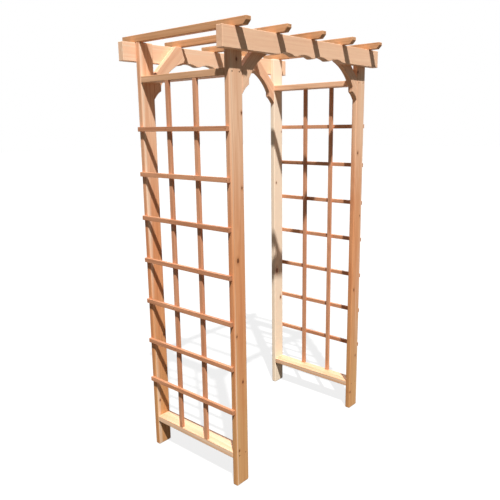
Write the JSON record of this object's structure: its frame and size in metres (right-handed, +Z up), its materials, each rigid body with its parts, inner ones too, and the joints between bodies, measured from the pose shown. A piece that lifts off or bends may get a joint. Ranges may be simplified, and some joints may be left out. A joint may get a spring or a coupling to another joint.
{
  "type": "garden arbor",
  "caption": "Open cedar walk-through garden arbor with scalloped headers, curved corner braces, bevelled rafters and ladder-like slatted side panels.",
  "frame": {"origin": "on the ground, at the middle of the four posts", "axes": "+X across the opening from the left panel to the right panel, +Y through the opening from front to rear, +Z up"},
  "size_m": [1.238, 0.808, 2.134],
  "materials": {
    "post": "planed cedar, eased edges, no coating",
    "header": "planed cedar, routed lower edge, no coating",
    "brace": "planed cedar, sawn curve, no coating",
    "rafter": "planed cedar, sawn ends, no coating",
    "rail": "planed cedar, no coating",
    "upright": "planed red cedar, no coating",
    "slat": "planed red cedar, no coating"
  },
  "bodies": {
    "root": {"front_left_post": "post", "front_right_post": "post", "rear_left_post": "post", "rear_right_post": "post", "front_header": "header", "rear_header": "header", "front_left_brace": "brace", "front_right_brace": "brace", "rear_left_brace": "brace", "rear_right_brace": "brace", "rafter_1": "rafter", "rafter_2": "rafter", "rafter_3": "rafter", "rafter_4": "rafter", "rafter_5": "rafter", "left_top_rail": "rail", "left_bottom_rail": "rail", "right_top_rail": "rail", "right_bottom_rail": "rail", "left_front_upright": "upright", "left_rear_upright": "upright", "right_front_upright": "upright", "right_rear_upright": "upright", "left_slat_1": "slat", "left_slat_2": "slat", "left_slat_3": "slat", "left_slat_4": "slat", "left_slat_5": "slat", "left_slat_6": "slat", "left_slat_7": "slat", "right_slat_1": "slat", "right_slat_2": "slat", "right_slat_3": "slat", "right_slat_4": "slat", "right_slat_5": "slat", "right_slat_6": "slat", "right_slat_7": "slat"}
  },
  "joints": []
}
